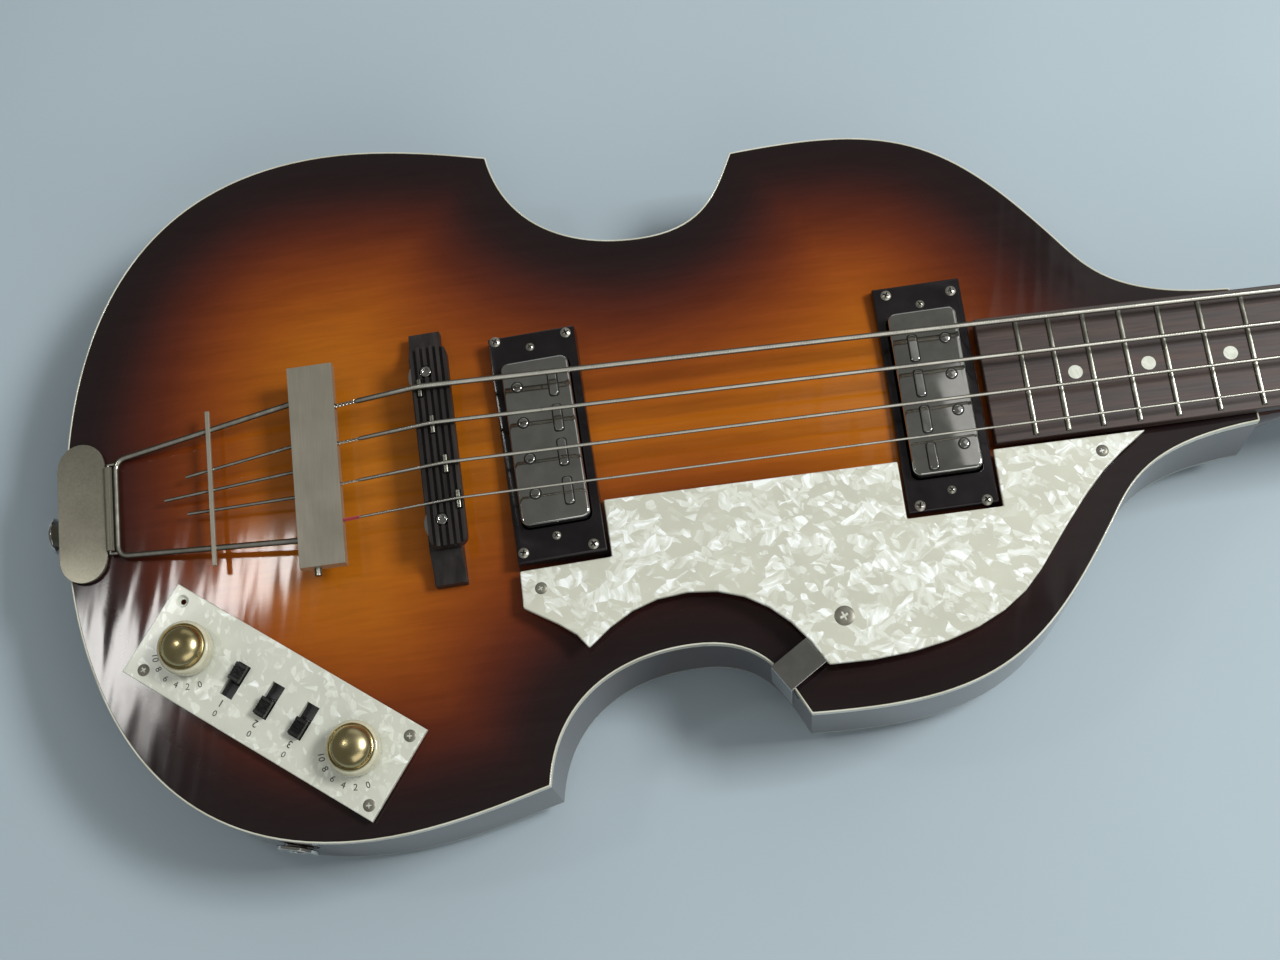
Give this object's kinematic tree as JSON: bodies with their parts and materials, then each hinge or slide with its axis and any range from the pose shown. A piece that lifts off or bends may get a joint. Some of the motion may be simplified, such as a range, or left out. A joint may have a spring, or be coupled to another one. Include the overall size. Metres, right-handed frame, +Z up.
{
  "type": "electric bass guitar",
  "caption": "Hollow violin-shaped electric bass guitar with a short-scale neck, two pickups, wire tailpiece, adjustable wooden bridge, slide switches and round knobs, lying on its back.",
  "frame": {"origin": "middle of the bounding box in plan, on the table plane that the back and the head's tuner housings touch", "axes": "+X from the tail to the head, +Y to the bass-string side, +Z up from the table; the body leans 1.41 degrees, head end up"},
  "size_m": [1.1026, 0.287, 0.0816],
  "materials": {
    "sunburst": "gloss lacquer over flamed maple, amber centre to black edge",
    "dark_lacquer": "gloss lacquer, very dark red-brown",
    "cream_plastic": "semi-gloss",
    "pale_wood": "bare wood",
    "rosewood": "oiled, open grain",
    "bone": "satin",
    "steel": "plain",
    "nickel": "nickel plated, worn bright",
    "brushed_nickel": "brushed nickel plate",
    "chrome": "polished",
    "ebony": "black, satin to gloss",
    "black_plastic": "gloss",
    "pearl": "white pearloid, gloss",
    "gold": "polished gold dome on a pale skirt",
    "coil": "copper winding on a bobbin",
    "string": "flat-wound, satin"
  },
  "bodies": {
    "instrument": {"back_binding": "cream_plastic", "back_plate": "dark_lacquer", "bridge_base": "ebony", "bridge_post_bass": "chrome", "bridge_post_treble": "chrome", "control_plate": "pearl", "end_strap_button": "chrome", "fingerboard": "rosewood", "heel_strap_button": "chrome", "neck": "dark_lacquer", "neck_block": "pale_wood", "nut": "bone", "output_jack": "chrome", "pickguard": "pearl", "pickguard_bracket": "chrome", "pickup_ring_bridge": "black_plastic", "pickup_ring_neck": "black_plastic", "rim": "dark_lacquer", "string_a": "string", "string_d": "string", "string_e": "string", "string_g": "string", "switch_frame_1": "steel", "switch_frame_2": "steel", "switch_frame_3": "steel", "tail_block": "pale_wood", "tailpiece_bracket": "brushed_nickel", "tailpiece_cover": "brushed_nickel", "tailpiece_frame": "nickel", "top_binding": "cream_plastic", "top_plate": "sunburst", "truss_rod": "steel", "tuner_plate_bass": "nickel", "tuner_plate_treble": "nickel", "volume_pot_front": "steel", "volume_pot_rear": "steel"},
    "bridge_top": {"bridge_top": "ebony", "saddle_e": "nickel", "saddle_a": "nickel", "saddle_d": "nickel", "saddle_g": "nickel"},
    "thumbwheel_bass": {"thumbwheel_bass": "chrome"},
    "thumbwheel_treble": {"thumbwheel_treble": "chrome"},
    "bridge_pickup": {"pickup_cover_bridge": "chrome", "pickup_coil_bridge": "coil"},
    "neck_pickup": {"pickup_cover_neck": "chrome", "pickup_coil_neck": "coil"},
    "volume_knob_rear": {"volume_knob_rear": "gold"},
    "volume_knob_front": {"volume_knob_front": "gold"},
    "switch_button_1": {"switch_button_1": "black_plastic"},
    "switch_button_2": {"switch_button_2": "black_plastic"},
    "switch_button_3": {"switch_button_3": "black_plastic"},
    "tuner_key_e": {"tuner_key_e": "nickel"},
    "tuner_post_e": {"tuner_post_e": "nickel"},
    "tuner_key_a": {"tuner_key_a": "nickel"},
    "tuner_post_a": {"tuner_post_a": "nickel"},
    "tuner_key_d": {"tuner_key_d": "nickel"},
    "tuner_post_d": {"tuner_post_d": "nickel"},
    "tuner_key_g": {"tuner_key_g": "nickel"},
    "tuner_post_g": {"tuner_post_g": "nickel"}
  },
  "joints": [
    {"name": "volume_turn_rear", "type": "hinge", "parent": "instrument", "child": "volume_knob_rear", "pos_m": [-0.48895, -0.06267, 0.0524], "axis": [-0.0457, -0.0314, 0.9985], "range_deg": [-150, 150]},
    {"name": "volume_turn_front", "type": "hinge", "parent": "instrument", "child": "volume_knob_front", "pos_m": [-0.42675, -0.10973, 0.05377], "axis": [-0.0457, -0.0314, 0.9985], "range_deg": [-150, 150]},
    {"name": "switch_slide_1", "type": "slide", "parent": "instrument", "child": "switch_button_1", "axis": [0.6017, 0.797, 0.0526], "range_m": [-0.0062, 0]},
    {"name": "switch_slide_2", "type": "slide", "parent": "instrument", "child": "switch_button_2", "axis": [0.6017, 0.797, 0.0526], "range_m": [0, 0.0062]},
    {"name": "switch_slide_3", "type": "slide", "parent": "instrument", "child": "switch_button_3", "axis": [0.6017, 0.797, 0.0526], "range_m": [0, 0.0062]},
    {"name": "key_turn_e", "type": "hinge", "parent": "instrument", "child": "tuner_key_e", "pos_m": [0.44623, 0.0215, 0.02042], "axis": [0, 1, 0], "continuous": true},
    {"name": "post_turn_e", "type": "hinge", "parent": "instrument", "child": "tuner_post_e", "pos_m": [0.44146, 0.0215, 0.04039], "axis": [0.1966, 0, 0.9805], "continuous": true},
    {"name": "key_turn_a", "type": "hinge", "parent": "instrument", "child": "tuner_key_a", "pos_m": [0.50702, 0.0215, 0.00823], "axis": [0, 1, 0], "continuous": true},
    {"name": "post_turn_a", "type": "hinge", "parent": "instrument", "child": "tuner_post_a", "pos_m": [0.50225, 0.0215, 0.02821], "axis": [0.1966, 0, 0.9805], "continuous": true},
    {"name": "key_turn_d", "type": "hinge", "parent": "instrument", "child": "tuner_key_d", "pos_m": [0.50702, -0.0215, 0.00823], "axis": [0, -1, 0], "continuous": true},
    {"name": "post_turn_d", "type": "hinge", "parent": "instrument", "child": "tuner_post_d", "pos_m": [0.50225, -0.0215, 0.02821], "axis": [0.1966, 0, 0.9805], "continuous": true},
    {"name": "key_turn_g", "type": "hinge", "parent": "instrument", "child": "tuner_key_g", "pos_m": [0.44623, -0.0215, 0.02042], "axis": [0, -1, 0], "continuous": true},
    {"name": "post_turn_g", "type": "hinge", "parent": "instrument", "child": "tuner_post_g", "pos_m": [0.44146, -0.0215, 0.04039], "axis": [0.1966, 0, 0.9805], "continuous": true},
    {"name": "bridge_height", "type": "slide", "parent": "instrument", "child": "bridge_top", "axis": [-0.0247, 0, 0.9997], "range_m": [-0.0014, 0]},
    {"name": "wheel_turn_bass", "type": "hinge", "parent": "bridge_top", "child": "thumbwheel_bass", "pos_m": [-0.38471, 0.03019, 0.05217], "axis": [-0.0247, 0, 0.9997], "range_deg": [-725, 0]},
    {"name": "wheel_turn_treble", "type": "hinge", "parent": "bridge_top", "child": "thumbwheel_treble", "pos_m": [-0.3835, -0.03019, 0.0522], "axis": [-0.0247, 0, 0.9997], "range_deg": [-725, 0]},
    {"name": "bridge_pickup_height", "type": "slide", "parent": "instrument", "child": "bridge_pickup", "axis": [-0.0247, 0, 0.9997], "range_m": [-0.0015, 0.0015]},
    {"name": "neck_pickup_height", "type": "slide", "parent": "instrument", "child": "neck_pickup", "axis": [-0.0247, 0, 0.9997], "range_m": [-0.0015, 0.0015]}
  ],
  "couplings": [
    {"joint": "post_turn_e", "follows": "key_turn_e", "ratio": -0.0625},
    {"joint": "post_turn_a", "follows": "key_turn_a", "ratio": -0.0625},
    {"joint": "post_turn_d", "follows": "key_turn_d", "ratio": 0.0625},
    {"joint": "post_turn_g", "follows": "key_turn_g", "ratio": 0.0625},
    {"joint": "wheel_turn_bass", "follows": "bridge_height", "rad_per_m": 8976},
    {"joint": "wheel_turn_treble", "follows": "bridge_height", "rad_per_m": 8976}
  ]
}
